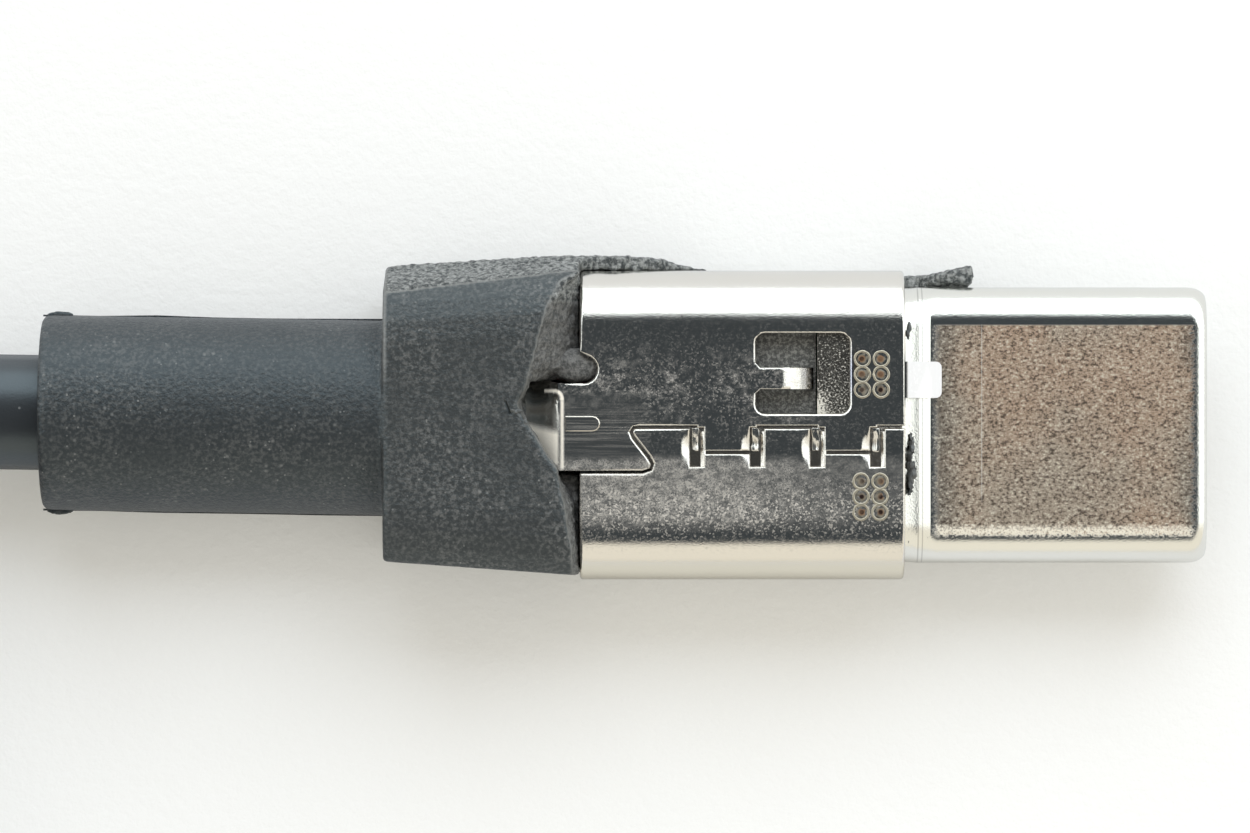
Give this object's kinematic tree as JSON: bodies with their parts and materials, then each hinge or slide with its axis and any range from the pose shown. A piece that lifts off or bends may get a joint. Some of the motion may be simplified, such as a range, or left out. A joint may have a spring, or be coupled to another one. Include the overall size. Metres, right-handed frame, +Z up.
{
  "type": "usb-c to micro usb cable",
  "caption": "Lead with a reversible plug whose rubber moulding is cut and torn open to the folded metal can, a round cord in a tied hank, and a small trapezoid plug on its far end.",
  "frame": {"origin": "on the centreline of the larger plug, in the middle of that plug's length, on the surface that the flap of its moulding rests on", "axes": "+X along the plug towards its mouth, +Z up, +Y to the side where the moulding was cut with a knife"},
  "size_m": [0.1342, 0.0365, 0.0118],
  "materials": {
    "nickel": "bright nickel plate, smudged",
    "satin_nickel": "satin, fine grained nickel plate",
    "gold": "gold plate",
    "spring_steel": "bare spring steel",
    "rubber": "matte, grainy where cut",
    "jacket": "matte",
    "black_plastic": "matte",
    "grey_mould": "matte",
    "card": "satin",
    "chip_black": "matte",
    "chip_tan": "matte",
    "wire_red": "smooth",
    "wire_black": "smooth",
    "wire_green": "smooth",
    "wire_white": "smooth",
    "braid": "tinned braid",
    "tie": "matte"
  },
  "bodies": {
    "root": {"front_shell": "satin_nickel", "shield_can": "nickel", "insulator": "black_plastic", "contact_upper_1": "gold", "contact_upper_4": "gold", "contact_upper_5": "gold", "contact_upper_6": "gold", "contact_upper_7": "gold", "contact_upper_9": "gold", "contact_upper_12": "gold", "contact_lower_1": "gold", "contact_lower_4": "gold", "contact_lower_5": "gold", "contact_lower_9": "gold", "contact_lower_12": "gold", "latch_plate": "spring_steel", "ground_spring_upper": "spring_steel", "ground_spring_lower": "spring_steel", "paddle_card": "card", "pull_down_resistor": "chip_black", "supply_capacitor": "chip_tan", "wire_red": "wire_red", "wire_black": "wire_black", "wire_green": "wire_green", "wire_white": "wire_white", "braided_core": "braid", "inner_mould": "grey_mould", "overmould": "rubber", "rubber_scrap": "rubber", "cord": "jacket", "cord_hank": "jacket", "cord_tail": "jacket", "hank_tie": "tie", "far_overmould": "rubber", "far_shell": "nickel", "far_insulator": "black_plastic", "far_contact_1": "gold", "far_contact_2": "gold", "far_contact_3": "gold", "far_contact_4": "gold", "far_contact_5": "gold", "far_latch_left": "spring_steel", "far_latch_right": "spring_steel"}
  },
  "joints": []
}
